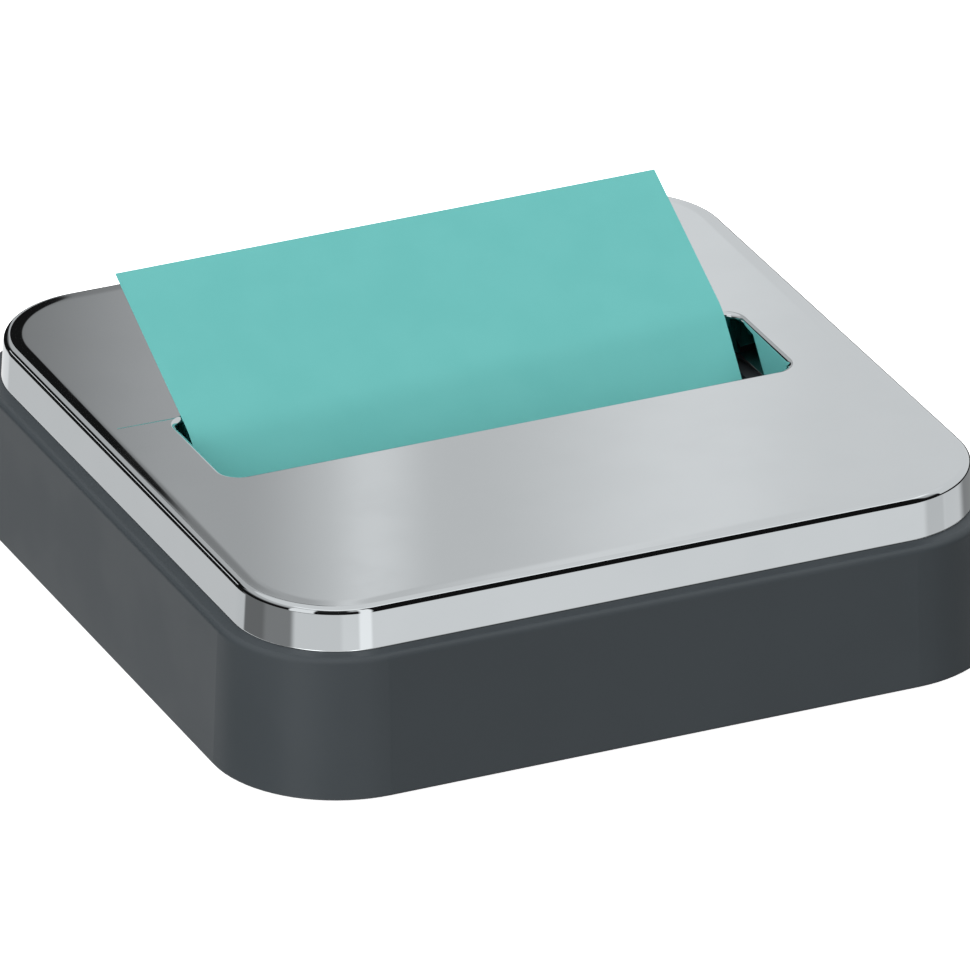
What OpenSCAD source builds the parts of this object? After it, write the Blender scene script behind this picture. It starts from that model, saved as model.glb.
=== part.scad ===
// Desk dispenser for pop-up sticky notes: a weighted moulded base holds a fan-folded pad under a
// drawn steel cover, and each note comes up through the slot in the cover.
// Heights are measured from the desk. Y points from the front edge to the back edge.

/* [Base housing] */
// Width of the base's shoulder beyond the note, on each side
side_margin = 14.9; // [13.9:0.1:26]
// Radius of the upright corners at the shoulder
corner_r = 16.3; // [14:0.1:20]
// How far the wall leans out from the shoulder down to its foot
wall_draft = 0.8; // [0.2:0.1:2]
// Height of the wall from its bottom edge to the shoulder
base_h = 19.4; // [17:0.1:26]
// Thickness of the outer wall
wall_t = 2.2; // [1.6:0.1:2.8]
// Rounding of the shoulder's outer rim
shoulder_round = 0.8; // [0.3:0.1:1.2]
// Rounding of the bottom edge
foot_round = 0.4; // [0.2:0.1:0.8]
// Thickness of the deck inside the shoulder
deck_t = 1.8; // [1.2:0.1:2.4]
// How far the deck lies below the shoulder
deck_drop = 1.4; // [0.6:0.1:1.8]
// Thickness of the well's walls
well_t = 1.6; // [1.2:0.1:2]
// Thickness of the well's floor
floor_t = 1.5; // [1:0.1:2]
// Thickness of the stiffening ribs
rib_t = 1.2; // [0.8:0.1:1.6]
// Distance of each rib from the middle of its side
rib_x = 22; // [12:1:28]

/* [Lid fit] */
// Height of the upstand that the cover drops over
upstand_h = 2.8; // [2:0.1:3.2]
// Thickness of the upstand
upstand_t = 1.4; // [1:0.1:1.8]
// Clearance between the steel skirt and the upstand
skirt_clear = 0.3; // [0.15:0.05:0.5]
// Clearance between the upstand and the rim of the insert
rim_clear = 0.25; // [0.15:0.05:0.5]

/* [Steel cover] */
// Width of the shoulder left outside the cover
ledge_w = 2.25; // [1.5:0.05:3]
// Thickness of the steel sheet
cover_t = 0.8; // [0.6:0.05:1]
// Height of the straight skirt, up to where the edge starts to round
skirt_h = 5.1; // [4.6:0.1:7]
// How far the skirt flares out at its lower edge
skirt_flare = 0.3; // [0:0.05:0.6]
// Outer radius of the drawn edge
edge_r = 0.85; // [0.6:0.05:1.4]

/* [Slot] */
// Length of the clear slot beyond the note, on each side
slot_side = 1.6; // [0.8:0.1:2.4]
// Width of the clear slot
slot_w = 18.8; // [16:0.1:24]
// Radius of the slot's corners
slot_r = 2.5; // [1.5:0.1:5]
// Radius of the rolled edge round the slot
slot_roll = 0.7; // [0.3:0.05:0.8]
// Depth of the drawn collar below the top of the cover
collar_h = 5.4; // [4:0.1:5.6]
// Place of the slot's middle in front of or behind the middle of the base
slot_y = 0; // [-4:0.1:4]

/* [Cover insert] */
// Thickness of the insert's plate
insert_t = 1.8; // [1.2:0.1:2.2]
// Film of adhesive between the steel and the insert
glue_t = 0.05; // [0.02:0.01:0.15]
// Thickness of the insert's rim and throat walls
insert_wall = 1.3; // [1:0.1:1.6]
// Clearance round the steel collar
collar_clear = 0.2; // [0.1:0.05:0.4]
// Gap from the deck up to the rim and the throat
insert_gap = 0.6; // [0.3:0.1:1]

/* [Notes] */
// Side of a square note
note_w = 76.2; // [70:0.1:90]
// How far the pad's top lies below the deck
pad_gap = 1.4; // [1.2:0.1:3.4]
// Thickness of the card under the pad
backing_t = 0.4; // [0.2:0.1:0.8]
// Thickness of the lifted note
note_t = 0.2; // [0.15:0.05:0.4]
// Play of the pad in its well, on each side when centred
pad_clear = 1.2; // [1:0.1:2]
// How far the pad lies forward of the well's middle
pad_shift = 0.9; // [0:0.1:0.9]
// Radius of the bend where the note leaves the pad
lift_r = 7; // [5:0.5:12]
// Steepest slope of the lifted note, in degrees
lift_slope = 44; // [38:1:50]
// How far in front of the slot's back edge the note starts to lean back
mouth_gap = 3.26; // [2.8:0.01:6]
// How far below the cover's top the note starts to lean back
mouth_drop = 1.12; // [0:0.01:1.4]
// Radius of the bend at the mouth of the slot
lean_r = 12; // [8:0.5:16]
// Slope of the free part of the note, in degrees
lean_slope = 26.5; // [24:0.1:32]

/* [Underside] */
// Thickness of the plate that closes the base
plate_t = 1.6; // [1.4:0.1:1.8]
// Clearance round the closing plate
plate_clear = 0.3; // [0.15:0.05:0.5]
// How far the plate is set up inside the wall's bottom edge
plate_inset = 0.2; // [0:0.05:0.3]
// Clearance above the ballast and round the screw bosses
ballast_clear = 0.2; // [0.1:0.05:0.4]
// Thickness of the ballast plate
ballast_t = 3.1; // [2:0.1:5]
// Room between the edge of the ballast and the outer wall
ballast_gap = 4.5; // [3:0.1:8]
// Radius of a rubber foot
foot_r = 6; // [4:0.1:8]
// How far the feet stand below the base
foot_proud = 0.6; // [0.4:0.1:1]
// Depth of the pocket that each foot sits in
foot_pocket = 0.5; // [0.3:0.05:0.7]
// Land of the closing plate between a foot and a screw's head
foot_land = 1.7; // [1:0.1:6]

/* [Screws] */
// Radius of a screw boss
boss_r = 3.2; // [2.8:0.1:3.4]
// Radius of the screw's shank
screw_r = 1.25; // [1:0.05:1.4]
// Radius of the screw's flat head
head_r = 2.8; // [2.4:0.1:3]
// Length of the screw, head included
screw_l = 10; // [7:0.5:11]
// Running clearance round the shank and the head
screw_clear = 0.05; // [0.03:0.01:0.1]
// Depth of the pilot hole beyond the screw's tip
pilot_spare = 1; // [0.5:0.1:1.5]

/* [Hidden] */
$fn = 72;

steel = [0.76, 0.77, 0.79];
slate = [0.27, 0.30, 0.31];
black = [0.10, 0.10, 0.11];
teal = [0.44, 0.79, 0.76];
card = [0.80, 0.77, 0.70];
iron = [0.42, 0.42, 0.44];

// Steps in a quarter of a rounded edge, and in the two bends of the lifted note
edge_steps = 6;
lift_steps = 10;
lean_steps = 6;
// Least radius that a rounding may shrink to
least_r = 0.05;
// Overlap that lets two pieces of one moulding fuse, and cutters run past a face
fuse = 0.5;

// Widths that follow the note. All upright corners share their centres, which lie on one square.
base_w = note_w + 2 * side_margin;
slot_l = note_w + 2 * slot_side;
core = base_w / 2 - corner_r;

// Heights
wall_z = foot_proud;
shoulder_z = wall_z + base_h;
deck_z = shoulder_z - deck_drop;
edge_z = shoulder_z + skirt_h;
top_z = edge_z + edge_r;
insert_top = top_z - cover_t - glue_t;
insert_z = insert_top - insert_t;
collar_z = top_z - collar_h;
throat_z = deck_z + insert_gap;
plate_z = wall_z + plate_inset;
plate_top = plate_z + plate_t;
ballast_top = plate_top + ballast_t;
floor_z = ballast_top + ballast_clear + floor_t;
pad_top = deck_z - pad_gap;
pad_h = pad_top - floor_z - backing_t;
upstand_top = min(shoulder_z + upstand_h, insert_z - skirt_clear);
upstand_chamfer = upstand_t / 3;

// Distances outwards from the square of corner centres
shoulder_d = corner_r;
foot_d = shoulder_d + wall_draft;
skirt_low_d = shoulder_d - ledge_w;
skirt_top_d = skirt_low_d - skirt_flare;
upstand_d = skirt_top_d - cover_t - skirt_clear;
upstand_in_d = upstand_d - upstand_t;
insert_d = upstand_d;
rim_d = upstand_in_d - rim_clear;

// The well, the bosses and the slot
well_half = note_w / 2 + pad_clear;
boss_place = core + (shoulder_d - wall_t - boss_r) / sqrt(2);
pilot_r = screw_r + screw_clear;
head_h = min(head_r - screw_r, plate_t - screw_clear);
foot_at = boss_place - (foot_r + head_r + foot_land) / sqrt(2);
foot_chamfer = 0.5;
slot_cx = slot_l / 2 - slot_r;
slot_cy = slot_w / 2 - slot_r;
throat_d = slot_r + cover_t + collar_clear;
note_front = -pad_shift - note_w / 2;

// The lifted note from the side: where it starts to lean, and how it comes there from the pad
mouth = [slot_y + slot_w / 2 - mouth_gap, top_z - mouth_drop];
lift_l = (mouth[1] - pad_top - note_t / 2 - lift_r * (1 - cos(lift_slope))) / sin(lift_slope);
rise = mouth - lift_l * [cos(lift_slope), sin(lift_slope)];
bend = rise + lift_r * [-sin(lift_slope), cos(lift_slope)];
lean = mouth + lean_r * [sin(lift_slope), -cos(lift_slope)];
free_l = note_w - (bend[0] - note_front) - lift_l
         - (lift_r * lift_slope + lean_r * (lift_slope - lean_slope)) * PI / 180;

// Outer distance of the wall at height z
function wall_d(z) = foot_d - wall_draft * (z - wall_z) / base_h;

// Points on an arc round c, from angle a to angle b
function arc(c, r, a, b, steps = edge_steps) =
    [for (i = [0:steps]) c + r * [cos(a + (b - a) * i / steps), sin(a + (b - a) * i / steps)]];

// A profile of distance and height, carried round a rectangle with half sides cx and cy
module swept(cx, cy) {
    for (m = [0, 1]) {
        mirror([m, 0, 0]) translate([cx, cy, 0])
            rotate([90, 0, 0]) linear_extrude(2 * cy) children();
        mirror([0, m, 0]) rotate([0, 0, 90]) translate([cy, cx, 0])
            rotate([90, 0, 0]) linear_extrude(2 * cx) children();
    }
    for (q = [[1, 1, 0], [-1, 1, 90], [-1, -1, 180], [1, -1, 270]])
        translate([q[0] * cx, q[1] * cy, 0]) rotate([0, 0, q[2]])
            rotate_extrude(angle = 90) children();
}

// The block inside such a rectangle, between two heights
module core_block(cx, cy, low, high) {
    translate([-cx, -cy, low]) cube([2 * cx, 2 * cy, high - low]);
}

// A plate with upright edges and rounded corners
module rounded_plate(cx, cy, d, low, high) {
    swept(cx, cy) translate([0, low]) square([d, high - low]);
    core_block(cx, cy, low, high);
}

// An upright wall between two distances
module ring_wall(cx, cy, inner, outer, low, high) {
    swept(cx, cy) translate([inner, low]) square([outer - inner, high - low]);
}

module at_corners(place) {
    for (x = [-place, place], y = [-place, place]) translate([x, y, 0]) children();
}

// Half section of the drawn cover's outside, shrunk by the sheet's thickness for its inside
module cover_section(inset, low) {
    r = max(edge_r - inset, least_r);
    polygon(concat(
        [[0, low], [skirt_low_d - inset, low], [skirt_low_d - inset, shoulder_z]],
        arc([skirt_top_d - inset - r, top_z - inset - r], r, 0, 90),
        [[0, top_z - inset]]));
}

module cover_body(inset, low) {
    swept(core, core) cover_section(inset, low);
    core_block(core, core, low, top_z - inset);
}

// What the slot removes: a straight throat that opens over the rolled edge
module slot_cut() {
    roll_z = top_z - slot_roll;
    translate([0, slot_y, 0]) {
        swept(slot_cx, slot_cy) polygon(concat(
            [[0, collar_z - fuse], [slot_r, collar_z - fuse]],
            arc([slot_r + slot_roll, roll_z], slot_roll, 180, 90),
            [[slot_r + slot_roll, top_z + fuse], [0, top_z + fuse]]));
        core_block(slot_cx, slot_cy, collar_z - fuse, top_z + fuse);
    }
}

module cover_shell() {
    color(steel) difference() {
        union() {
            difference() {
                cover_body(0, shoulder_z);
                cover_body(cover_t, shoulder_z - fuse);
            }
            translate([0, slot_y, 0])
                ring_wall(slot_cx, slot_cy, slot_r - fuse, slot_r + cover_t, collar_z,
                          top_z - cover_t / 2);
            translate([0, slot_y, 0])
                ring_wall(slot_cx, slot_cy, slot_r - fuse, slot_r + slot_roll + cover_t,
                          top_z - slot_roll - cover_t, top_z - cover_t / 2);
        }
        slot_cut();
    }
}

module cover_insert() {
    color(black) difference() {
        union() {
            rounded_plate(core, core, insert_d, insert_z, insert_top);
            ring_wall(core, core, rim_d - insert_wall, rim_d, throat_z, insert_z + fuse);
            translate([0, slot_y, 0])
                ring_wall(slot_cx, slot_cy, throat_d, throat_d + insert_wall, throat_z,
                          insert_z + fuse);
        }
        translate([0, slot_y, 0])
            rounded_plate(slot_cx, slot_cy, throat_d, throat_z - fuse, insert_top + fuse);
        // Room under the rolled edge, where the sheet turns down into the collar
        translate([0, slot_y, 0])
            rounded_plate(slot_cx, slot_cy, slot_r + slot_roll + cover_t + collar_clear,
                          top_z - slot_roll - cover_t - collar_clear, insert_top + fuse);
    }
}

// Outer wall, shoulder and upstand as one closed section
module wall_section() {
    deck_low = deck_z - deck_t;
    polygon(concat(
        [[wall_d(wall_z) - wall_t, wall_z]],
        arc([foot_d - foot_round, wall_z + foot_round], foot_round, -90, 0),
        arc([shoulder_d - shoulder_round, shoulder_z - shoulder_round], shoulder_round, 0, 90),
        [[upstand_d, shoulder_z], [upstand_d, upstand_top - upstand_chamfer],
         [upstand_d - upstand_chamfer, upstand_top], [upstand_in_d, upstand_top],
         [upstand_in_d, deck_low], [wall_d(deck_low) - wall_t, deck_low]]));
}

// Ribs from the well's walls to the outer wall, a pair on each side
module ribs() {
    low = floor_z - floor_t + ballast_clear;
    reach = core + wall_d(deck_z) - wall_t / 2;
    for (turn = [0, 90, 180, 270], x = [-rib_x, rib_x])
        rotate([0, 0, turn]) translate([x - rib_t / 2, well_half + well_t / 2, low])
            cube([rib_t, reach - well_half - well_t / 2, deck_z - deck_t / 2 - low]);
}

module base_housing() {
    well_out = well_half + well_t;
    color(slate) difference() {
        union() {
            swept(core, core) wall_section();
            rounded_plate(core, core, upstand_in_d + fuse, deck_z - deck_t, deck_z);
            core_block(well_out, well_out, floor_z - floor_t, deck_z - deck_t / 2);
            at_corners(boss_place) translate([0, 0, plate_top])
                cylinder(r = boss_r, h = deck_z - deck_t / 2 - plate_top);
            ribs();
        }
        core_block(well_half, well_half, floor_z, deck_z + fuse);
        at_corners(boss_place) translate([0, 0, plate_top - fuse])
            cylinder(r = pilot_r, h = plate_z + screw_l + pilot_spare - plate_top + fuse);
    }
}

module ballast_plate() {
    outline_d = wall_d(plate_top) - wall_t - ballast_gap;
    color(iron) difference() {
        rounded_plate(core, core, outline_d, plate_top, ballast_top);
        at_corners(boss_place) translate([0, 0, plate_top - fuse])
            cylinder(r = boss_r + ballast_clear, h = ballast_t + 2 * fuse);
    }
}

// The screw's head and shank, grown by a clearance for the hole that takes them
module screw_form(grow, low, high) {
    translate([0, 0, low]) cylinder(r = screw_r + grow, h = high - low);
    translate([0, 0, plate_z]) cylinder(r1 = head_r + grow, r2 = screw_r + grow, h = head_h);
}

module bottom_plate() {
    outline_d = wall_d(plate_top) - wall_t - plate_clear;
    color(black) difference() {
        rounded_plate(core, core, outline_d, plate_z, plate_top);
        at_corners(boss_place) screw_form(screw_clear, plate_z - fuse, plate_top + fuse);
        at_corners(foot_at) translate([0, 0, plate_z - fuse])
            cylinder(r = foot_r + plate_clear / 2, h = foot_pocket + fuse);
    }
}

// Four countersunk screws with a cross recess
module bottom_screws() {
    drive_w = head_r * 0.3;
    drive_l = head_r * 1.2;
    drive_h = head_h * 0.6;
    color(iron) at_corners(boss_place) difference() {
        screw_form(0, plate_z, plate_z + screw_l);
        for (a = [0, 90]) rotate([0, 0, a])
            translate([-drive_l / 2, -drive_w / 2, plate_z - fuse])
                cube([drive_l, drive_w, drive_h + fuse]);
    }
}

module foot(x, y) {
    color(black) translate([x * foot_at, y * foot_at, 0]) {
        cylinder(r1 = foot_r - foot_chamfer, r2 = foot_r, h = foot_chamfer);
        translate([0, 0, foot_chamfer])
            cylinder(r = foot_r, h = plate_z + foot_pocket - foot_chamfer);
    }
}

module foot_front_left() { foot(-1, -1); }
module foot_front_right() { foot(1, -1); }
module foot_back_left() { foot(-1, 1); }
module foot_back_right() { foot(1, 1); }

module note_pad() {
    color(teal) translate([-note_w / 2, note_front, floor_z + backing_t])
        cube([note_w, note_w, pad_h]);
}

module pad_backing() {
    color(card) translate([-note_w / 2, note_front, floor_z])
        cube([note_w, note_w, backing_t]);
}

// The lifted note's line from the side: points of distance from the front and height, offset by
// half its thickness to either face. It lies flat, bends up, runs straight and bends back.
function note_line(off) = concat(
    [[note_front, pad_top + note_t / 2 + off]],
    arc(bend, lift_r - off, -90, lift_slope - 90, lift_steps),
    arc(lean, lean_r + off, lift_slope + 90, lean_slope + 90, lean_steps),
    [lean + (lean_r + off) * [-sin(lean_slope), cos(lean_slope)]
     + free_l * [cos(lean_slope), sin(lean_slope)]]);

function reversed(list) = [for (i = [len(list) - 1:-1:0]) list[i]];

module lifted_note() {
    color(teal) translate([-note_w / 2, 0, 0]) rotate([90, 0, 90]) linear_extrude(note_w)
        polygon(concat(note_line(-note_t / 2), reversed(note_line(note_t / 2))));
}

cover_shell();
cover_insert();
base_housing();
ballast_plate();
bottom_plate();
bottom_screws();
foot_front_left();
foot_front_right();
foot_back_left();
foot_back_right();
note_pad();
pad_backing();
lifted_note();
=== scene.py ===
"""Looks of a square desk dispenser for pop-up sticky notes.

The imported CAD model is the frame. The drawn steel cover, the lifted note and the pad of notes are
made here as smooth surfaces; the moulded and hidden parts keep their CAD solids and get a finish.
All sizes are in millimetres and are turned into metres where a mesh is made.
"""

import logging
import math
from dataclasses import dataclass, field
from enum import Enum

import bpy
import numpy as np
from mathutils import Matrix, Vector


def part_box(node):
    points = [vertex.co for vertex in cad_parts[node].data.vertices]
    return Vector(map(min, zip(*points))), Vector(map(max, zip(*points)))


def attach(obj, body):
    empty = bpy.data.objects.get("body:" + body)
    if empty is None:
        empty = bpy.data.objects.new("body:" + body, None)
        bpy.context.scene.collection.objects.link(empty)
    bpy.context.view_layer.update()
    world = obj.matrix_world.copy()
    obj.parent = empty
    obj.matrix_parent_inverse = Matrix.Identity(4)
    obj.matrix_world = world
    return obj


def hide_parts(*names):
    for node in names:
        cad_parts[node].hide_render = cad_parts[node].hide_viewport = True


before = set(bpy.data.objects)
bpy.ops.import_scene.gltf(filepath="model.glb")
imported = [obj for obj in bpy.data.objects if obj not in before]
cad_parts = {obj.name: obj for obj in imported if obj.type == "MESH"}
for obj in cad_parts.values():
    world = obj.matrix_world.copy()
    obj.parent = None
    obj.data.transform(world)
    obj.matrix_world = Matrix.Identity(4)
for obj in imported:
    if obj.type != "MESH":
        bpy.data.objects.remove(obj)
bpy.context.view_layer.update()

MM = 0.001
BODY = "root"

log = logging.getLogger("dispenser")


class Slot(Enum):
    """Names of material slots for the pieces' finishes; nothing in this script uses them."""

    STEEL = "polished_steel"
    BASE = "base_plastic"
    INSERT = "insert_plastic"
    IRON = "ballast_iron"
    SCREW = "screw_steel"
    RUBBER = "foot_rubber"
    PAPER = "note_paper"
    CARD = "backing_card"


# Shapes


@dataclass(frozen=True)
class Outline:
    """A rectangle of corner centres with half sides x and y, which a section is carried round.

    Formula: the point at distance d is the place on the rectangle plus d times the outward
    direction. That direction turns through a quarter circle at each corner and stays on a side.
    """

    x: float
    y: float
    corner_steps: int = 28
    side_steps: int = 6

    def places(self) -> tuple[np.ndarray, np.ndarray]:
        """Works out the places on the rectangle and the outward directions there.

        Returns:
            Two arrays of shape (n, 2), in counter-clockwise order and not closed.
        """
        turn = np.radians(np.linspace(0, 90, self.corner_steps + 1))
        turns = np.concatenate([turn + math.radians(90 * q) for q in range(4)])
        signs = np.array([[1, 1], [-1, 1], [-1, -1], [1, -1]])
        centres = np.repeat(signs * [self.x, self.y], self.corner_steps + 1, axis=0)
        along = np.arange(1, self.side_steps)[:, None] / self.side_steps
        sides, facing = [], []
        for q in range(4):
            start, end = signs[q] * [self.x, self.y], signs[(q + 1) % 4] * [self.x, self.y]
            sides.append(start + along * (end - start))
            facing.append(np.full(self.side_steps - 1, math.radians(90 * (q + 1))))
        corners = np.split(centres, 4)
        angles = np.split(turns, 4)
        places = np.concatenate([p for q in range(4) for p in (corners[q], sides[q])])
        turns = np.concatenate([a for q in range(4) for a in (angles[q], facing[q])])
        return places, np.column_stack([np.cos(turns), np.sin(turns)])


@dataclass(frozen=True)
class Run:
    """One smooth stretch of a section.

    Attributes:
        points: Distance and height of each point, shape (n, 2).
        normals: Unit normal of the surface there, in the same two directions, shape (n, 2).
        outline: Number of the outline that each point is measured from, shape (n,).
    """

    points: np.ndarray
    normals: np.ndarray
    outline: np.ndarray


def normals_left(points: np.ndarray) -> np.ndarray:
    """Normals of a polyline: its direction by central differences, turned a quarter clockwise.

    Args:
        points: Points of the line, shape (n, 2).

    Returns:
        Unit vectors of shape (n, 2).
    """
    step = np.gradient(points, axis=0)
    turned = np.column_stack([step[:, 1], -step[:, 0]])
    return turned / np.linalg.norm(turned, axis=1, keepdims=True)


def line(start: tuple[float, float], end: tuple[float, float], outline: int = 0, steps: int = 1) -> Run:
    """A straight stretch of a section.

    Args:
        start: Distance and height where it starts.
        end: Distance and height where it ends.
        outline: Outline that both ends are measured from.
        steps: Number of equal parts.

    Returns:
        The stretch with its normal on the right-hand side of the walk.
    """
    share = np.linspace(0, 1, steps + 1)[:, None]
    points = np.array(start) + share * (np.array(end) - np.array(start))
    return Run(points, normals_left(points), np.full(steps + 1, outline))


def arc(
    centre: tuple[float, float], radius: float, start: float, end: float, outline: int = 0,
    steps: int = 12,
) -> Run:
    """A round stretch of a section: the centre plus the radius times a turning direction.

    Args:
        centre: Distance and height of the centre.
        radius: Radius of the arc.
        start: Angle in degrees where it starts, from outwards towards up.
        end: Angle in degrees where it ends.
        outline: Outline that it is measured from.
        steps: Number of equal parts.

    Returns:
        The stretch, with its normal away from the centre where it turns towards greater angles
        and towards the centre where it turns back.
    """
    angle = np.radians(np.linspace(start, end, steps + 1))
    out = np.column_stack([np.cos(angle), np.sin(angle)])
    side = 1.0 if end > start else -1.0
    return Run(np.array(centre) + radius * out, side * out, np.full(steps + 1, outline))


def span(start: tuple[float, float], end: tuple[float, float], first: int, last: int) -> Run:
    """A level stretch that starts on one outline and ends on another.

    Args:
        start: Distance and height on the first outline.
        end: Distance and height on the last outline.
        first: Number of the first outline.
        last: Number of the last outline.

    Returns:
        The stretch, facing up where it leads from outline 0 inwards and down where it leads back.
    """
    up = 1.0 if first < last else -1.0
    return Run(np.array([start, end]), np.array([[0.0, up], [0.0, up]]), np.array([first, last]))


def mesh_piece(
    name: str, points: np.ndarray, faces: np.ndarray, normals: np.ndarray | None = None
) -> bpy.types.Object:
    """Puts a mesh of quads into the scene as a smooth-shaded object.

    Args:
        name: Name of the object.
        points: Vertices in millimetres, shape (n, 3).
        faces: Four vertex numbers for each face, shape (m, 4).
        normals: Normal at each corner of each face, shape (m, 4, 3), or None for the mesh's own.

    Returns:
        The object, at the origin, with its place in its mesh.
    """
    mesh = bpy.data.meshes.new(name)
    mesh.from_pydata((points * MM).tolist(), [], faces.tolist())
    mesh.polygons.foreach_set("use_smooth", np.ones(len(faces), dtype=bool))
    if normals is not None:
        mesh.normals_split_custom_set(normals.reshape(-1, 3).tolist())
    mesh.update()
    piece = bpy.data.objects.new(name, mesh)
    bpy.context.scene.collection.objects.link(piece)
    return piece


def grid_faces(rows: int, columns: int, rows_close: bool, columns_close: bool) -> np.ndarray:
    """Numbers the quads of a grid whose vertices are counted row by row.

    Args:
        rows: Number of rows of vertices.
        columns: Number of columns of vertices.
        rows_close: Whether the last row joins the first.
        columns_close: Whether the last column joins the first.

    Returns:
        Four vertex numbers for each quad, ordered along the row first, shape (m, 4).
    """
    i = np.arange(rows if rows_close else rows - 1)[:, None]
    j = np.arange(columns if columns_close else columns - 1)[None, :]
    i, j = np.broadcast_arrays(i, j)
    here, there = i.ravel(), (i.ravel() + 1) % rows
    left, right = j.ravel(), (j.ravel() + 1) % columns
    return np.column_stack(
        [here * columns + left, here * columns + right, there * columns + right, there * columns + left]
    )


def carried_section(
    name: str, runs: list[Run], outlines: list[Outline], centre: tuple[float, float] = (0.0, 0.0)
) -> bpy.types.Object:
    """Carries a closed section round its outlines and closes it into one shell.

    Formula: the vertex of section point i and outline place j is the place j of the point's
    outline plus its distance times the outward direction j, at the point's height. The normal is
    the section's normal, turned the same way, so flats stay flat and rounds stay round.

    Args:
        name: Name of the piece.
        runs: Stretches of the section, each starting where the last one ends.
        outlines: The outlines that the stretches are measured from.
        centre: Place of the middle of all outlines.

    Returns:
        The finished object.
    """
    places, facing = zip(*(o.places() for o in outlines))
    places, facing = np.stack(places), facing[0]
    points = np.concatenate([r.points[:-1] for r in runs])
    owner = np.concatenate([r.outline[:-1] for r in runs])
    start = np.concatenate([r.normals[:-1] for r in runs])
    end = np.concatenate([r.normals[1:] for r in runs])
    flat = places[owner] + points[:, :1, None] * facing[None] + np.array(centre)
    height = np.broadcast_to(points[:, 1:, None], flat[:, :, :1].shape)
    vertices = np.concatenate([flat, height], axis=2)
    rows, columns = vertices.shape[:2]

    def turned(section: np.ndarray) -> np.ndarray:
        """Turns section normals to every outline direction, shape (rows, columns, 3)."""
        level = section[:, :1, None] * facing[None]
        rise = np.broadcast_to(section[:, 1:, None], level[:, :, :1].shape)
        return np.concatenate([level, rise], axis=2)

    first, last = turned(start), turned(end)
    right = np.roll(np.arange(columns), -1)
    corners = np.stack([first, first[:, right], last[:, right], last], axis=2).reshape(-1, 4, 3)
    faces = grid_faces(rows, columns, True, True)
    return mesh_piece(name, vertices.reshape(-1, 3), faces, corners)


# Finishes


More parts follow.
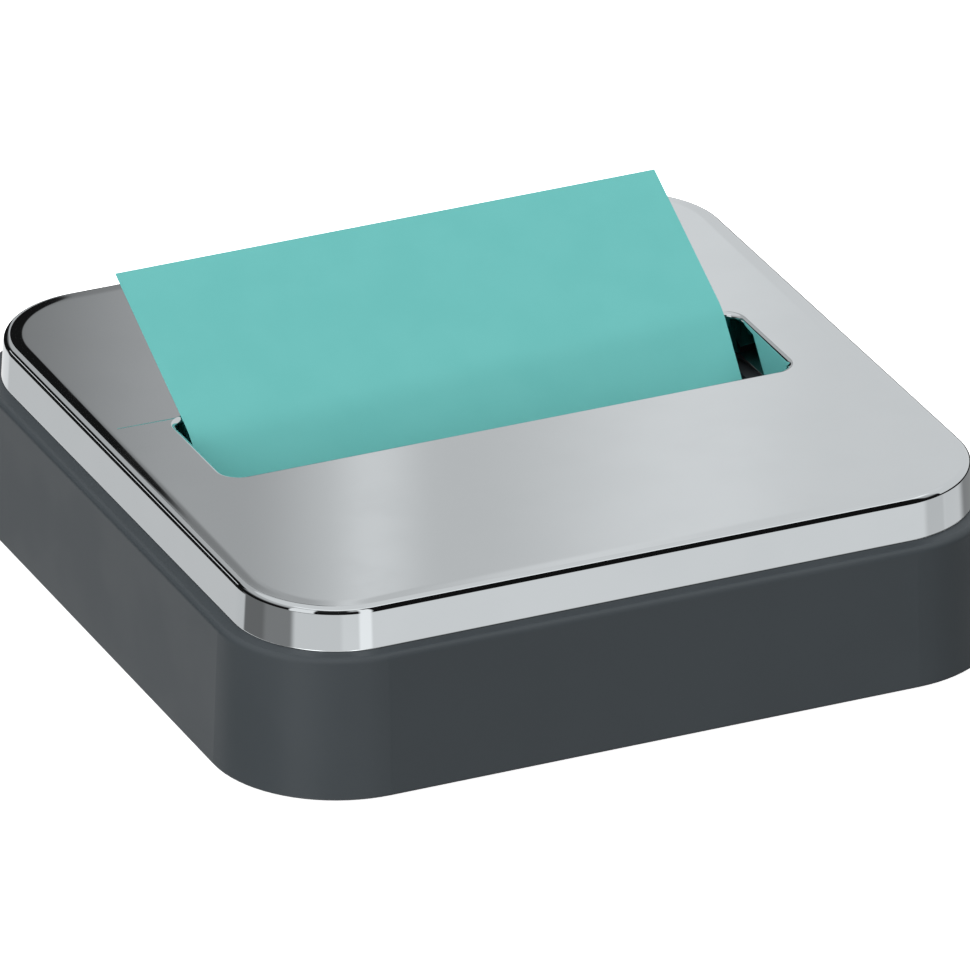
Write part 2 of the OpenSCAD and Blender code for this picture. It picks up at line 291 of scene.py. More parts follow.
class Graph:
    """Adds nodes to a node tree and joins them."""

    def __init__(self, tree: bpy.types.NodeTree) -> None:
        """Takes a tree and empties it."""
        self.tree = tree
        tree.nodes.clear()

    def add(self, kind: str, **values: object) -> bpy.types.Node:
        """Adds a node and sets its properties.

        Args:
            kind: Type name of the node.
            values: Properties of the node by name.

        Returns:
            The node.
        """
        node = self.tree.nodes.new(kind)
        for key, value in values.items():
            setattr(node, key, value)
        return node

    def join(self, source: bpy.types.NodeSocket, target: bpy.types.NodeSocket) -> None:
        """Links one socket to another."""
        self.tree.links.new(source, target)

    def feed(self, target: bpy.types.NodeSocket, value: object) -> None:
        """Links a socket to the target, or sets the target to a plain value."""
        if isinstance(value, bpy.types.NodeSocket):
            self.join(value, target)
        else:
            target.default_value = value

    def math(self, operation: str, *values: object) -> bpy.types.NodeSocket:
        """Adds a Math node.

        Args:
            operation: Name of the operation.
            values: Sockets or numbers for its inputs, in order.

        Returns:
            Its output socket.
        """
        node = self.add("ShaderNodeMath", operation=operation)
        for socket, value in zip(node.inputs, values):
            self.feed(socket, value)
        return node.outputs[0]

    def ease(
        self, value: object, low: float, high: float, start: float = 0.0, end: float = 1.0
    ) -> bpy.types.NodeSocket:
        """Eases from start to end while the value goes from low to high.

        Args:
            value: The socket that is read.
            low: Value at which the change begins.
            high: Value at which it is complete.
            start: Result below low.
            end: Result above high.

        Returns:
            The result's socket.
        """
        node = self.add("ShaderNodeMapRange", interpolation_type="SMOOTHSTEP")
        for key, number in (("From Min", low), ("From Max", high), ("To Min", start), ("To Max", end)):
            node.inputs[key].default_value = number
        self.feed(node.inputs["Value"], value)
        return node.outputs["Result"]

    def blend(self, share: object, first: object, second: object) -> bpy.types.NodeSocket:
        """Mixes two numbers.

        Args:
            share: Share of the second one.
            first: First number or socket.
            second: Second number or socket.

        Returns:
            The mixed number's socket.
        """
        node = self.add("ShaderNodeMix", data_type="FLOAT")
        self.feed(node.inputs[0], share)
        self.feed(node.inputs[2], first)
        self.feed(node.inputs[3], second)
        return node.outputs[0]

    def tint(self, share: object, first: tuple, second: tuple) -> bpy.types.NodeSocket:
        """Mixes two colours.

        Args:
            share: Share of the second one.
            first: First colour.
            second: Second colour.

        Returns:
            The mixed colour's socket.
        """
        node = self.add("ShaderNodeMix", data_type="RGBA")
        self.feed(node.inputs[0], share)
        node.inputs[6].default_value = (*first, 1.0)
        node.inputs[7].default_value = (*second, 1.0)
        return node.outputs[2]

    def grain(
        self, size: float, detail: float = 2.0, stretch: tuple = (1.0, 1.0, 1.0)
    ) -> bpy.types.NodeSocket:
        """Noise on the object's own coordinates.

        Args:
            size: Size of one grain in millimetres.
            detail: Number of finer layers.
            stretch: How much longer the grain is along each axis.

        Returns:
            The noise value's socket, from 0 to 1.
        """
        place = self.add("ShaderNodeTexCoord")
        scaled = self.add("ShaderNodeMapping")
        scaled.inputs["Scale"].default_value = [1.0 / (size * MM * s) for s in stretch]
        noise = self.add("ShaderNodeTexNoise")
        noise.inputs["Scale"].default_value = 1.0
        noise.inputs["Detail"].default_value = detail
        self.join(place.outputs["Object"], scaled.inputs["Vector"])
        self.join(scaled.outputs["Vector"], noise.inputs["Vector"])
        return noise.outputs["Fac"]

    def relief(self, height: object, depth: float, under: object = None) -> bpy.types.NodeSocket:
        """Adds a Bump node.

        Args:
            height: Height field from 0 to 1.
            depth: Depth of the relief in millimetres.
            under: Normal of a coarser relief below it, if any.

        Returns:
            The normal's socket.
        """
        node = self.add("ShaderNodeBump")
        node.inputs["Strength"].default_value = 1.0
        node.inputs["Distance"].default_value = depth * MM
        self.feed(node.inputs["Height"], height)
        if under is not None:
            self.join(under, node.inputs["Normal"])
        return node.outputs["Normal"]


@dataclass(frozen=True)
class Finish:
    """What every finish has: a name and a shader that its build method fills.

    Attributes:
        name: Name of the material.
    """

    name: str

    def build(self) -> bpy.types.Material:
        """Makes the material.

        Returns:
            The new material with its nodes.
        """
        material = bpy.data.materials.new(self.name)
        material.use_nodes = True
        graph = Graph(material.node_tree)
        shader = graph.add("ShaderNodeBsdfPrincipled")
        output = graph.add("ShaderNodeOutputMaterial")
        graph.join(shader.outputs[0], output.inputs["Surface"])
        self.dress(graph, shader)
        return material

    def dress(self, graph: Graph, shader: bpy.types.Node) -> None:
        """Sets the shader's colour, roughness and relief; each finish has its own."""
        raise NotImplementedError


@dataclass(frozen=True)
class Polished(Finish):
    """Sheet metal polished to a mirror, with faint haze and a trace of the rolling direction.

    Attributes:
        colour: Reflected colour where it is clean.
        haze: Reflected colour where the polish is a little dull.
        smooth: Roughness where it is clean.
        dull: Roughness where it is a little dull.
        wave: Depth in millimetres of the sheet's slow waves.
    """

    colour: tuple = (0.62, 0.645, 0.66)
    haze: tuple = (0.61, 0.635, 0.65)
    smooth: float = 0.015
    dull: float = 0.03
    wave: float = 0.0002

    def dress(self, graph: Graph, shader: bpy.types.Node) -> None:
        """Hazes the polish in soft patches and lets the sheet wave very slightly."""
        patch = graph.ease(graph.grain(9.0, 3.0), 0.35, 0.7)
        brushed = graph.grain(0.6, 2.0, (12.0, 1.0, 1.0))
        graph.join(graph.tint(patch, self.colour, self.haze), shader.inputs["Base Color"])
        rough = graph.blend(patch, self.smooth, self.dull)
        rough = graph.math("ADD", rough, graph.math("MULTIPLY", brushed, self.smooth * 0.5))
        graph.join(rough, shader.inputs["Roughness"])
        shader.inputs["Metallic"].default_value = 1.0
        graph.join(graph.relief(graph.grain(24.0, 1.0), self.wave), shader.inputs["Normal"])


@dataclass(frozen=True)
class Moulded(Finish):
    """Matte moulded plastic with a fine spark-eroded texture.

    Attributes:
        colour: Colour on the peaks of the texture.
        shade: Colour in its valleys.
        roughness: Middle roughness.
        grain: Size of one grain in millimetres.
        depth: Depth of the texture in millimetres.
        gloss: Specular level.
    """

    colour: tuple = (0.049, 0.057, 0.063)
    shade: tuple = (0.044, 0.0515, 0.057)
    roughness: float = 0.36
    grain: float = 0.22
    depth: float = 0.006
    gloss: float = 0.2

    def dress(self, graph: Graph, shader: bpy.types.Node) -> None:
        """Lays fine grain over slow variations of tone and gloss."""
        fine = graph.grain(self.grain, 3.0)
        slow = graph.ease(graph.grain(14.0, 2.0), 0.3, 0.7)
        tone = graph.blend(0.5, fine, slow)
        graph.join(graph.tint(tone, self.shade, self.colour), shader.inputs["Base Color"])
        graph.join(
            graph.ease(slow, 0.0, 1.0, self.roughness - 0.03, self.roughness + 0.03),
            shader.inputs["Roughness"],
        )
        shader.inputs["Specular IOR Level"].default_value = self.gloss
        graph.join(graph.relief(fine, self.depth), shader.inputs["Normal"])


@dataclass(frozen=True)
class Paper(Finish):
    """Uncoated coloured paper with short fibres.

    Attributes:
        colour: Colour of the sheet.
        fibre: Colour of the lighter fibres.
        roughness: Roughness of the sheet.
        depth: Depth of the fibre relief in millimetres.
        shine_through: Share of the light that passes through the sheet.
    """

    colour: tuple = (0.148, 0.5, 0.475)
    fibre: tuple = (0.165, 0.528, 0.503)
    roughness: float = 0.85
    depth: float = 0.004
    shine_through: float = 0.25

    def build(self) -> bpy.types.Material:
        """Makes the material and lets a share of the light through the sheet.

        Returns:
            The new material with its nodes.
        """
        material = super().build()
        tree = material.node_tree
        shader = next(n for n in tree.nodes if n.type == "BSDF_PRINCIPLED")
        output = next(n for n in tree.nodes if n.type == "OUTPUT_MATERIAL")
        through = tree.nodes.new("ShaderNodeBsdfTranslucent")
        mixed = tree.nodes.new("ShaderNodeMixShader")
        mixed.inputs[0].default_value = self.shine_through
        tree.links.new(shader.inputs["Base Color"].links[0].from_socket, through.inputs["Color"])
        tree.links.new(shader.outputs[0], mixed.inputs[1])
        tree.links.new(through.outputs[0], mixed.inputs[2])
        tree.links.new(mixed.outputs[0], output.inputs["Surface"])
        return material

    def dress(self, graph: Graph, shader: bpy.types.Node) -> None:
        """Mottles the sheet with crossing fibres and a slow cloudiness."""
        across = graph.grain(0.35, 3.0, (5.0, 1.0, 1.0))
        along = graph.grain(0.35, 3.0, (1.0, 5.0, 1.0))
        fibres = graph.blend(0.5, across, along)
        cloud = graph.ease(graph.grain(7.0, 3.0), 0.3, 0.7)
        tone = graph.blend(0.45, fibres, cloud)
        graph.join(graph.tint(tone, self.colour, self.fibre), shader.inputs["Base Color"])
        graph.join(
            graph.ease(fibres, 0.3, 0.7, self.roughness - 0.05, self.roughness + 0.05),
            shader.inputs["Roughness"],
        )
        shader.inputs["Specular IOR Level"].default_value = 0.25
        graph.join(graph.relief(fibres, self.depth), shader.inputs["Normal"])


@dataclass(frozen=True)
class Metal(Finish):
    """Plain plate or screw metal, neither polished nor painted.

    Attributes:
        colour: Reflected colour of the clean metal.
        stain: Reflected colour of the darker patches.
        roughness: Lowest roughness.
        spread: How much rougher the patches are.
        grain: Size of the patches in millimetres.
        depth: Depth of the surface relief in millimetres.
    """

    colour: tuple = (0.35, 0.35, 0.36)
    stain: tuple = (0.25, 0.25, 0.26)
    roughness: float = 0.35
    spread: float = 0.15
    grain: float = 1.5
    depth: float = 0.01

    def dress(self, graph: Graph, shader: bpy.types.Node) -> None:
        """Mixes clean and darker patches, rougher where darker."""
        patch = graph.grain(self.grain, 4.0)
        graph.join(graph.tint(patch, self.colour, self.stain), shader.inputs["Base Color"])
        graph.join(
            graph.ease(patch, 0.2, 0.8, self.roughness, self.roughness + self.spread),
            shader.inputs["Roughness"],
        )
        shader.inputs["Metallic"].default_value = 1.0
        graph.join(graph.relief(graph.grain(self.grain * 0.3, 3.0), self.depth), shader.inputs["Normal"])


# Sub-assemblies


def dress_node(node: str, material: bpy.types.Material) -> None:
    """Gives a CAD node its finish.

    Args:
        node: Name of the CAD node.
        material: The finish.
    """
    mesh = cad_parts[node].data
    for number in range(len(mesh.materials)):
        mesh.materials[number] = material
    if not mesh.materials:
        mesh.materials.append(material)
    log.info("%s keeps its solid, finish %s", node, material.name)


def place_piece(piece: bpy.types.Object, node: str, material: bpy.types.Material) -> None:
    """Lets a piece stand for a CAD node.

    Args:
        piece: The finished piece.
        node: Name of the CAD node that it replaces.
        material: The finish.
    """
    piece.data.materials.append(material)
    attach(piece, BODY)
    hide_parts(node)
    log.info("%s stands for %s, %d faces", piece.name, node, len(piece.data.polygons))


def node_box(node: str) -> tuple[np.ndarray, np.ndarray]:
    """Lowest and highest corner of a CAD node in millimetres."""
    low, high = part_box(node)
    return np.array(low) / MM, np.array(high) / MM


@dataclass
class SteelCover:
    """The drawn cover: skirt, tight edge, shallow dip, level top, rolled slot edge and collar.

    Attributes:
        core: Half side of the square of corner centres.
        sheet: Thickness of the steel.
        flare: How far the skirt flares out at its lower edge.
        edge: Radius of the drawn edge.
        hem: Rounding of the skirt's lower edge.
        slot_x: Half length of the rectangle of the slot's corner centres.
        slot_y: Half width of that rectangle.
        slot_r: Corner radius of the clear slot.
        roll: Radius of the rolled edge round the slot.
        collar: Depth of the collar below the top.
        dip_place: Distance at which the top dips most steeply towards its edge.
        dip_slope: Slope there in degrees.
        dip_in: Reach of the dip inwards from there.
        dip_out: Reach of the dip outwards from there.
    """

    core: float = 36.7
    sheet: float = 0.8
    flare: float = 0.3
    edge: float = 0.93
    hem: float = 0.22
    slot_x: float = 37.2
    slot_y: float = 6.9
    slot_r: float = 2.5
    roll: float = 0.7
    collar: float = 5.4
    dip_place: float = 12.4
    dip_slope: float = 0.84
    dip_in: float = 1.0
    dip_out: float = 0.75
    finish: Finish = field(default_factory=lambda: Polished("mirror_polished_steel"))

    def dip(self, start: float, top: float) -> Run:
        """The outer part of the top, where the drawn sheet dips a little towards its edge.

        Formula: the slope is a bell round its steepest place, with its own reach to each side and
        flatter on the inner side, and the height is the top less the slope added up outwards.

        Args:
            start: Distance at which the drawn edge begins.
            top: Height of the level part.

        Returns:
            The stretch, walked from the drawn edge inwards.
        """
        reach, steps = 1.7, 44
        inner = self.dip_place - reach * self.dip_in
        distance = np.linspace(inner, start, steps + 1)
        away = distance - self.dip_place
        bell = np.exp(-np.where(away < 0, (away / self.dip_in) ** 4, (away / self.dip_out) ** 2))
        slope = math.radians(self.dip_slope) * bell
        fall = np.tan(slope)
        fallen = np.concatenate([[0.0], np.cumsum((fall[1:] + fall[:-1]) / 2 * np.diff(distance))])
        points = np.column_stack([distance, top - fallen])[::-1]
        normals = np.column_stack([np.sin(slope), np.cos(slope)])[::-1]
        return Run(points, normals, np.zeros(len(distance), dtype=int))

    def build(self) -> bpy.types.Object:
        """Builds the cover as one closed shell.

        Returns:
            The cover.
        """
        low, high = node_box("cover_shell")
        foot, top = low[2], high[2]
        out = high[0] - self.core
        brow = out - self.flare
        edge_z = top - self.edge
        inner = self.edge - self.sheet
        under = top - self.sheet
        collar_z = top - self.collar
        lip = self.slot_r + self.roll
        thick = self.slot_r + self.sheet
        hem = self.hem
        dip = self.dip(brow - self.edge, top)
        tilt = math.asin(dip.normals[0, 0])
        middle = dip.points[0] - self.edge * dip.normals[0]
        lean = math.atan2(self.flare, edge_z - foot)
        start = middle + self.edge * np.array([math.cos(lean), math.sin(lean)])
        runs = [
            line((out, foot + hem), tuple(start), steps=4),
            arc(tuple(middle), self.edge, math.degrees(lean), 90 - math.degrees(tilt), steps=28),
            dip,
            span(tuple(dip.points[-1]), (lip, top), 0, 1),
            arc((lip, top - self.roll), self.roll, 90, 180, 1, steps=20),
            line((self.slot_r, top - self.roll), (self.slot_r, collar_z + hem), 1, 4),
            arc((self.slot_r + hem, collar_z + hem), hem, 180, 270, 1, 4),
            line((self.slot_r + hem, collar_z), (thick - hem, collar_z), 1),
            arc((thick - hem, collar_z + hem), hem, 270, 360, 1, 4),
            line((thick, collar_z + hem), (thick, under - self.roll), 1, 2),
            arc((thick + self.roll, under - self.roll), self.roll, 180, 90, 1, 8),
            span((thick + self.roll, under), (brow - self.edge, under), 1, 0),
            arc((brow - self.edge, edge_z), inner, 90, 0, steps=4),
            line((brow - self.sheet, edge_z), (out - self.sheet, foot + hem), steps=2),
            arc((out - self.sheet + hem, foot + hem), hem, 180, 270, steps=4),
            line((out - self.sheet + hem, foot), (out - hem, foot)),
            arc((out - hem, foot + hem), hem, 270, 360, steps=4),
        ]
        outlines = [Outline(self.core, self.core), Outline(self.slot_x, self.slot_y)]
        piece = carried_section("steel_cover", runs, outlines)
        place_piece(piece, "cover_shell", self.finish.build())
        return piece


@dataclass
class Notes:
    """The pad's loose leaves and the note that is lifted through the slot.

    Attributes:
        flat: Length of the lifted note that lies on the pad.
        lift_r: Radius of the bend where it leaves the pad.
        lift_slope: Steepest slope in degrees.
        rise: Length of the straight part in the slot.
        lean_r: Radius of the bend at the slot's mouth.
        lean_slope: Slope of the free part in degrees.
        flat_more: How much longer the flat part is at the right edge, and shorter at the left.
        rise_more: How much longer the straight part is at the right edge, and shorter at the left.
        thickness: Thickness of the note.
        leaves: Number of leaves that show at the pad's sides.
    """

    flat: float = 38.24
    lift_r: float = 4.0
    lift_slope: float = 51.0
    rise: float = 7.06
    lean_r: float = 8.0
    lean_slope: float = 27.4
    flat_more: float = 0.31
    rise_more: float = 1.35
    thickness: float = 0.08
    leaves: int = 48
    finish: Finish = field(default_factory=lambda: Paper("teal_note_paper"))

    def slope(self, along: np.ndarray, across: np.ndarray) -> np.ndarray:
        """Slope of the lifted note at each length along it and each place across it.

        Formula: level, then a steady turn up over the first bend, constant, a steady turn back
        over the second bend, and constant again. The bends start later towards the right edge.

        Args:
            along: Lengths from the note's front edge in millimetres.
            across: Places from -1 at the left edge to 1 at the right edge.

        Returns:
            Slopes in radians.
        """
        steep, lean = math.radians(self.lift_slope), math.radians(self.lean_slope)
        flat = self.flat + self.flat_more * across
        rise = self.rise + self.rise_more * across
        risen = np.clip((along - flat) / self.lift_r, 0, steep)
        turned = np.clip((along - flat - self.lift_r * steep - rise) / self.lean_r, 0, steep - lean)
        return risen - turned

    def build_sheet(self, material: bpy.types.Material) -> bpy.types.Object:
        """Builds the lifted note as a closed sheet with two faces and four edges.

        Formula: the middle line adds up the cosine and sine of its slope along its length; each
        section across the note is a flat loop round that line, half the thickness to either side.

        Args:
            material: Finish of the paper.

        Returns:
            The note.
        """
        low, high = node_box("lifted_note")
        width = high[0] - low[0]
        steps, across, every = 360, 24, 4
        share = np.linspace(-1, 1, across + 1)
        share = np.concatenate([share, share[::-1]])[None]
        slope = self.slope(np.linspace(0, width, steps + 1)[:, None], share)
        middle = (slope[1:] + slope[:-1]) / 2
        start = np.zeros_like(share)
        run = np.cumsum(np.concatenate([start, np.cos(middle) * width / steps]), axis=0)
        climb = np.cumsum(np.concatenate([start, np.sin(middle) * width / steps]), axis=0)
        keep = np.arange(0, steps + 1, every)
        run, climb, slope = run[keep] + low[1], climb[keep] + low[2] + self.thickness / 2, slope[keep]
        side = np.repeat([0.5, -0.5], across + 1)[None] * self.thickness
        y = run - np.sin(slope) * side
        z = climb + np.cos(slope) * side
        points = np.stack([np.broadcast_to(share * width / 2, y.shape), y, z], axis=2)
        rows, columns = y.shape
        faces = grid_faces(rows, columns, False, True)
        left = np.arange(across)
        start = np.column_stack([left, left + 1, columns - 2 - left, columns - 1 - left])
        end = start[:, ::-1] + (rows - 1) * columns
        faces = np.concatenate([faces[:, ::-1], start[:, ::-1], end[:, ::-1]])
        piece = mesh_piece("lifted_sheet", points.reshape(-1, 3), faces)
        piece.data.polygons.foreach_set("use_smooth", np.ones(len(faces), dtype=bool))
        piece.data.set_sharp_from_angle(angle=math.radians(40))
        place_piece(piece, "lifted_note", material)
        return piece

    def build_pad(self, material: bpy.types.Material) -> bpy.types.Object:
        """Builds the folded pad with the edges of its leaves.

        Formula: each leaf is a flat rim with a small step in to the next one, moved in by a fixed
        pseudo-random share of the step, and the rims are carried round a square.

        Args:
            material: Finish of the paper.

        Returns:
            The pad.
        """
        low, high = node_box("note_pad")
        half = (high[0] - low[0]) / 2
        middle = (low[:2] + high[:2]) / 2
        leaf = (high[2] - low[2]) / self.leaves
        shift = np.random.default_rng(7).uniform(0.0, 0.12, self.leaves)
        corner, groove = 0.2, 0.08
        outline = Outline(half - corner, half - corner, 2, 2)
        bottoms = low[2] + leaf * np.arange(self.leaves)
        distance = corner - np.column_stack([shift + groove, shift, shift, shift + groove]).ravel()
        height = (bottoms[:, None] + leaf * np.array([0.0, 0.2, 0.8, 1.0])).ravel()
        height[-1] = high[2]
        places, facing = outline.places()
        flat = places[None] + distance[:, None, None] * facing[None] + middle
        up = np.broadcast_to(height[:, None, None], flat[:, :, :1].shape)
        points = np.concatenate([flat, up], axis=2)
        rows, columns = points.shape[:2]
        faces = grid_faces(rows, columns, False, True).tolist()
        faces.append(list(range(columns))[::-1])
        faces.append(list(range((rows - 1) * columns, rows * columns)))
        mesh = bpy.data.meshes.new("note_leaves")
        mesh.from_pydata((points.reshape(-1, 3) * MM).tolist(), [], faces)
        mesh.update()
        piece = bpy.data.objects.new("note_leaves", mesh)
        bpy.context.scene.collection.objects.link(piece)
        place_piece(piece, "note_pad", material)
        return piece

    def build(self) -> None:
        """Builds the pad and the lifted note in one paper."""
        paper = self.finish.build()
        self.build_pad(paper)
        self.build_sheet(paper)
        card = Paper(
            "backing_card_stock", colour=(0.60, 0.55, 0.45), fibre=(0.66, 0.61, 0.51),
            roughness=0.9, depth=0.01,
        )
        dress_node("pad_backing", card.build())


@dataclass
class WeightedBase:
    """The moulded base with everything that it holds and stands on.

    Attributes:
        housing: Finish of the visible moulding.
        hidden: Finish of the insert and the closing plate.
        ballast: Finish of the weight.
        screws: Finish of the screws.
        rubber: Finish of the feet.
    """

    housing: Finish = field(default_factory=lambda: Moulded("slate_moulding"))
    hidden: Finish = field(
        default_factory=lambda: Moulded(
            "black_moulding", colour=(0.03, 0.03, 0.032), shade=(0.024, 0.024, 0.026)
        )
    )
    ballast: Finish = field(
        default_factory=lambda: Metal(
            "oiled_iron", colour=(0.22, 0.22, 0.23), stain=(0.13, 0.12, 0.12),
            roughness=0.45, spread=0.2, grain=3.0, depth=0.04,
        )
    )
    screws: Finish = field(
        default_factory=lambda: Metal(
            "dull_zinc", colour=(0.55, 0.55, 0.57), stain=(0.42, 0.42, 0.44)
        )
    )
    rubber: Finish = field(
        default_factory=lambda: Moulded(
            "soft_rubber", colour=(0.02, 0.02, 0.021), shade=(0.016, 0.016, 0.017),
            roughness=0.75, grain=0.15, depth=0.01, gloss=0.3,
        )
    )

    def build(self) -> None:
        """Dresses the nodes that keep their CAD solids.

        The housing is hidden from mirror rays, so the steel doesn't show the dark band of base
        that a real cover mirrors along its lower edge.
        """
        dress_node("base_housing", self.housing.build())
        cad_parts["base_housing"].visible_glossy = False
        hidden = self.hidden.build()
        for node in ("cover_insert", "bottom_plate"):
            dress_node(node, hidden)
        dress_node("ballast_plate", self.ballast.build())
        dress_node("bottom_screws", self.screws.build())
        rubber = self.rubber.build()
        for node in (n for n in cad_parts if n.startswith("foot_")):
            dress_node(node, rubber)


# Studio


@dataclass(frozen=True)
class Panel:
    """A soft-edged field of the studio, as a mirror sees it.

    Attributes:
        heading: Direction of its middle in degrees, from the back towards the right.
        width: Its width in degrees.
        low: Height of its lower edge above the horizon, in degrees.
        high: Height of its upper edge.
        level: Brightness, or the socket that gives it.
        soft: Width in degrees over which its sides fade.
        fade: Width in degrees over which its upper and lower edges fade.
    """

    heading: float
    width: float
    low: float
    high: float
    level: object
    soft: float = 1.0
    fade: float = 1.0

    def share(self, graph: Graph, heading: object, height: object) -> bpy.types.NodeSocket:
        """How much of the panel is seen in a direction.

        Args:
            graph: The world's graph.
            heading: Heading in degrees.
            height: Height above the horizon in degrees.

        Returns:
            A socket from 0 outside to 1 inside.
        """
        away = graph.math("WRAP", graph.math("SUBTRACT", heading, self.heading), 180.0, -180.0)
        away = graph.math("ABSOLUTE", away)
        half = self.width / 2
        across = graph.ease(away, half - self.soft / 2, half + self.soft / 2, 1.0, 0.0)
        above = graph.ease(height, self.low - self.fade / 2, self.low + self.fade / 2)
        below = graph.ease(height, self.high - self.fade / 2, self.high + self.fade / 2, 1.0, 0.0)
        return graph.math("MULTIPLY", across, graph.math("MULTIPLY", above, below))


@dataclass(frozen=True)
class Sweep:
    """A smooth change of the back wall's brightness from one heading to another.

    Attributes:
        start: Heading in degrees at which it begins.
        end: Heading at which it is complete.
        change: How much is added to the brightness.
    """

    start: float
    end: float
    change: float


@dataclass(frozen=True)
class Lamp:
    """A large soft lamp that lights everything but what polished steel mirrors directly.

    Attributes:
        heading: Direction of its middle in degrees, from the back towards the right.
        height: Height of its middle above the horizon in degrees.
        level: Brightness in its middle.
        edge: Cosine of the angle from its middle at which it has faded out.
    """

    heading: float
    height: float
    level: float
    edge: float = 0.3

    def light(self, graph: Graph, x: object, y: object, z: object) -> bpy.types.NodeSocket:
        """Brightness of the lamp in a direction: it fades with the cosine from its middle.

        Args:
            graph: The world's graph.
            x: The direction's part to the right.
            y: Its part to the back.
            z: Its part upwards.

        Returns:
            The brightness socket.
        """
        turn, climb = math.radians(self.heading), math.radians(self.height)
        middle = (math.sin(turn) * math.cos(climb), math.cos(turn) * math.cos(climb), math.sin(climb))
        parts = [graph.math("MULTIPLY", axis, share) for axis, share in zip((x, y, z), middle)]
        near = graph.math("ADD", graph.math("ADD", parts[0], parts[1]), parts[2])
        return graph.ease(near, self.edge, 1.0, 0.0, self.level)


@dataclass
class Studio:
    """Pale floor, soft light and the camera.

    Attributes:
        azimuth: How far the camera stands to the left of the front, in degrees.
        elevation: Height of the camera above the horizon in degrees.
        roll: Turn of the picture in degrees.
        distance: Distance of the camera from the base's middle in millimetres.
        aside: How far the camera's line of sight passes to the right of that middle.
        above: How far it passes above it.
        focal: Focal length in millimetres for a sensor of 36 mm.
        fill: Brightness of the light from all round.
        floor_glow: Light that the floor adds by itself, so that it stays pale.
        floor_size: Side of the floor.
        backdrop: Brightness of the surroundings where the camera looks past the object.
        light_colour: Colour of all light from the surroundings.
        mirror_floor: Brightness of the floor as a mirror sees it.
        mirror_wall: Brightness of the back wall as a mirror sees it, before its sweeps.
        mirror_rise: How much brighter the walls get towards the ceiling, for a mirror.
        dark: Brightness of the darkest cards, for a mirror.
        lamps: The large soft lamps.
    """

    azimuth: float = 24.06
    elevation: float = 25.946
    roll: float = -0.116
    distance: float = 2034.3
    aside: float = 0.186
    above: float = 10.96
    focal: float = 583.6
    fill: float = 0.06
    floor_glow: float = 0.9
    floor_size: float = 3000.0
    backdrop: float = 1.1
    light_colour: tuple = (0.985, 0.995, 1.0)
    mirror_floor: float = 0.93
    mirror_wall: float = 0.58
    mirror_rise: float = 0.6
    dark: float = 0.008
    lamps: tuple = (Lamp(-108.0, 8.0, 1.05), Lamp(-152.0, 54.0, 1.8), Lamp(30.0, 24.0, 0.9))

    def build_camera(self) -> None:
        """Stands the camera where the photograph was taken from."""
        a, e, roll = (math.radians(v) for v in (self.azimuth, self.elevation, self.roll))
        back = Vector((-math.sin(a) * math.cos(e), -math.cos(a) * math.cos(e), math.sin(e)))
        level = Vector((math.cos(a), -math.sin(a), 0.0))
        upright = back.cross(level)
        right = math.cos(roll) * level + math.sin(roll) * upright
        up = -math.sin(roll) * level + math.cos(roll) * upright
        base = Vector((0.0, 0.0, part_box("base_housing")[0][2]))
        place = base + (back * self.distance + right * self.aside + up * self.above) * MM
        data = bpy.data.cameras.new("camera")
        data.lens, data.sensor_width = self.focal, 36.0
        camera = bpy.data.objects.new("camera", data)
        turn = Matrix((right, up, back)).transposed().to_4x4()
        camera.matrix_world = Matrix.Translation(place) @ turn
        bpy.context.scene.collection.objects.link(camera)
        bpy.context.scene.camera = camera

    def build_floor(self) -> None:
        """Lays the floor under the feet, as a pale matte sheet."""
        half = self.floor_size / 2
        signs = np.array([[-1, -1, 0], [1, -1, 0], [1, 1, 0], [-1, 1, 0]])
        points = half * signs.astype(float)
        floor = mesh_piece("floor", points, np.array([[0, 1, 2, 3]]))
        material = bpy.data.materials.new("pale_floor")
        material.use_nodes = True
        graph = Graph(material.node_tree)
        shader = graph.add("ShaderNodeBsdfPrincipled")
        output = graph.add("ShaderNodeOutputMaterial")
        shader.inputs["Base Color"].default_value = (0.9, 0.9, 0.9, 1.0)
        shader.inputs["Roughness"].default_value = 0.9
        shader.inputs["Specular IOR Level"].default_value = 0.0
        shader.inputs["Emission Color"].default_value = (1.0, 1.0, 1.0, 1.0)
        shader.inputs["Emission Strength"].default_value = self.floor_glow
        graph.join(shader.outputs[0], output.inputs["Surface"])
        floor.data.materials.append(material)
        floor.visible_glossy = False
        floor.visible_diffuse = False

    def build_world(self) -> None:
        """Surrounds the object with soft light, and with what polished steel mirrors."""
        world = bpy.data.worlds.new("studio")
        bpy.context.scene.world = world
        world.use_nodes = True
        graph = Graph(world.node_tree)
        place = graph.add("ShaderNodeTexCoord")
        split = graph.add("ShaderNodeSeparateXYZ")
        graph.join(place.outputs["Generated"], split.inputs[0])
        x, y, z = split.outputs
        heading = graph.math("DEGREES", graph.math("ARCTAN2", x, y))
        height = graph.math("DEGREES", graph.math("ARCSINE", z))
        mirrored = self.mirrored(graph, heading, height)
        soft = self.fill
        for lamp in self.lamps:
            soft = graph.math("ADD", lamp.light(graph, x, y, z), soft)
        path = graph.add("ShaderNodeLightPath")
        sharp = graph.math("LESS_THAN", path.outputs["Diffuse Depth"], 0.5)
        sharp = graph.math("MULTIPLY", sharp, path.outputs["Is Glossy Ray"])
        level = graph.blend(sharp, soft, mirrored)
        level = graph.blend(path.outputs["Is Camera Ray"], level, self.backdrop)
        light = graph.add("ShaderNodeBackground")
        output = graph.add("ShaderNodeOutputWorld")
        graph.join(level, light.inputs["Strength"])
        light.inputs["Color"].default_value = (*self.light_colour, 1.0)
        graph.join(light.outputs[0], output.inputs["Surface"])

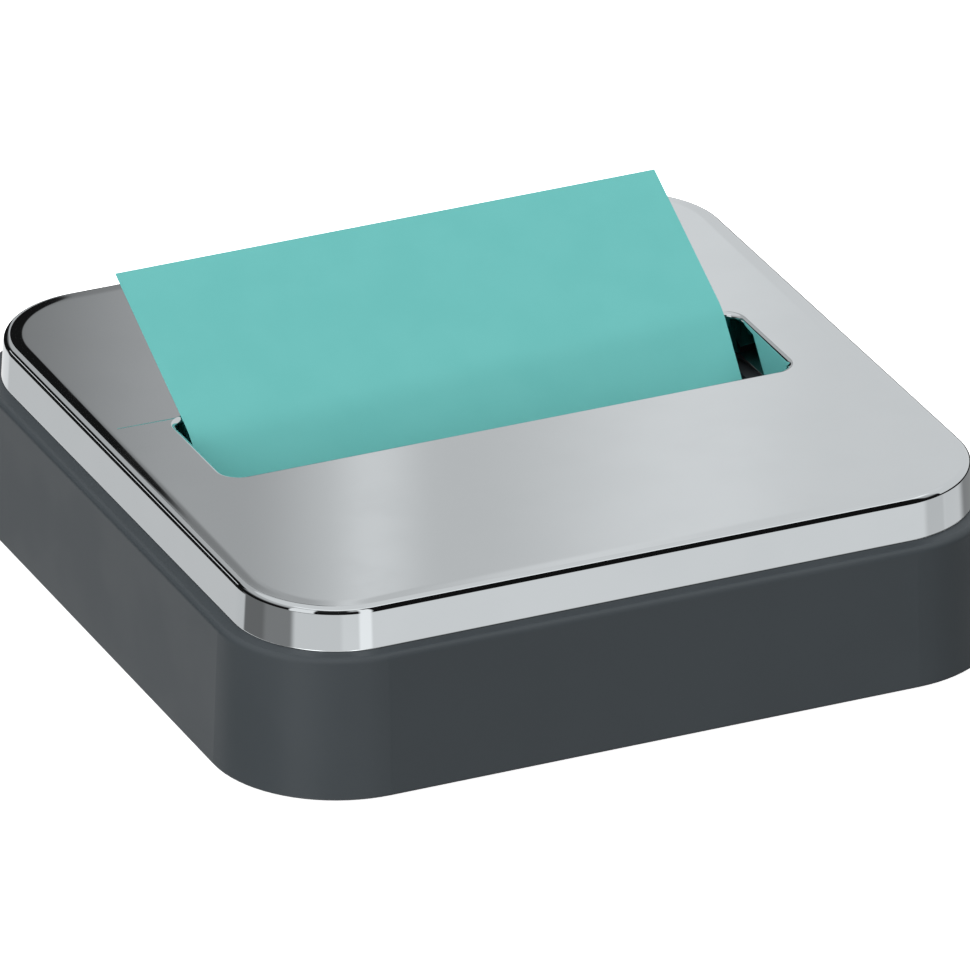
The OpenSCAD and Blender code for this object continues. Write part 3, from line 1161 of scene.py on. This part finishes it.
    def mirrored(self, graph: Graph, heading: object, height: object) -> bpy.types.NodeSocket:
        """What a mirror sees of the studio: a pale floor, dark walls, and soft panels.

        Only direct mirror rays see this field; matte surfaces are lit by the fill and the lamps.
        Its headings and levels were fitted to the reflections of one camera view, so it
        isn't an even studio, and from other sides the steel mirrors whatever the fit left there.

        Args:
            graph: The world's graph.
            heading: Heading in degrees, from the back towards the right.
            height: Height above the horizon in degrees.

        Returns:
            The brightness socket.
        """
        wall, dark = self.mirror_wall, self.dark
        for sweep in (
            Sweep(20.5, 20.8, -0.57),
            Sweep(21.98, 22.12, 0.27),
            Sweep(22.1, 22.9, 0.22),
            Sweep(23.05, 23.58, 0.27),
            Sweep(23.4, 23.6, 0.11),
            Sweep(23.62, 23.88, -0.17),
            Sweep(23.97, 24.9, 0.23),
            Sweep(25.0, 25.5, -0.08),
        ):
            change = graph.ease(heading, sweep.start, sweep.end, 0.0, sweep.change)
            wall = graph.math("ADD", change, wall)
        level = graph.ease(height, -19.0, -16.0, self.mirror_floor, dark)
        level = graph.math("ADD", graph.ease(height, 14.0, 34.0, 0.0, self.mirror_rise), level)
        panels = [
            Panel(-35.0, 30.0, -60.0, -10.0, 0.73, 6.0, 2.0),
            Panel(-35.0, 28.0, -21.9, -10.0, dark, 6.0, 0.4),
            Panel(-132.0, 60.0, -60.0, -17.0, 0.82, 6.0, 2.0),
            Panel(124.0, 26.0, -60.0, -17.0, 0.72, 8.0, 2.0),
            Panel(93.0, 36.0, -60.0, -17.0, 0.8, 6.0, 2.0),
            Panel(60.0, 40.0, -60.0, -12.0, 0.3, 16.0, 2.0),
            Panel(-29.0, 26.0, -10.0, 30.0, dark, 4.0, 3.0),
            Panel(154.0, 36.0, -10.0, 54.0, dark, 6.0, 2.0),
            Panel(50.0, 140.0, 24.5, 60.0, wall, 2.0, 2.0),
            Panel(65.0, 110.0, 0.0, 26.0, wall, 2.0, 2.0),
            Panel(0.0, 360.0, 46.0, 91.0, 0.9, 1.0, 3.0),
            Panel(154.0, 36.0, 40.0, 53.0, dark, 6.0, 1.5),
            Panel(180.0, 170.0, 53.0, 60.0, 1.4, 8.0, 2.0),
            Panel(-31.0, 10.0, 6.0, 11.0, 1.2, 3.0, 2.0),
            Panel(-68.0, 42.0, -40.0, -10.0, 0.19, 4.0, 3.0),
            Panel(-94.0, 34.0, -40.0, -10.0, 0.28, 8.0, 3.0),
            Panel(0.0, 360.0, -91.0, -34.0, 1.0, 1.0, 3.0),
            Panel(-72.0, 60.0, -70.0, -28.0, 0.3, 10.0, 4.0),
            Panel(-124.0, 30.0, -70.0, -26.0, 2.4, 8.0, 3.0),
            Panel(178.0, 16.0, -70.0, -26.0, 2.4, 6.0, 3.0),
            Panel(150.0, 34.0, -70.0, -28.0, 0.5, 6.0, 3.0),
            Panel(85.0, 90.0, -70.0, -28.0, 0.1, 10.0, 4.0),
            Panel(-152.0, 36.0, 10.0, 44.0, 0.02, 8.0, 4.0),
            Panel(-121.0, 26.0, -12.0, 40.0, 1.1, 3.0, 2.0),
            Panel(173.5, 13.0, -40.0, 40.0, 1.25, 4.0, 3.0),
        ]
        for panel in panels:
            level = graph.blend(panel.share(graph, heading, height), level, panel.level)
        return level

    def build(self) -> None:
        """Builds the whole studio."""
        bpy.context.scene.view_settings.view_transform = "Standard"
        self.build_camera()
        self.build_floor()
        self.build_world()
        log.info("studio, camera %.0f mm away", self.distance)


def main() -> None:
    """Builds the dispenser from the outside in, then the studio round it."""
    logging.basicConfig(level=logging.INFO)
    SteelCover().build()
    Notes().build()
    WeightedBase().build()
    Studio().build()


if __name__ == "__main__":
    main()
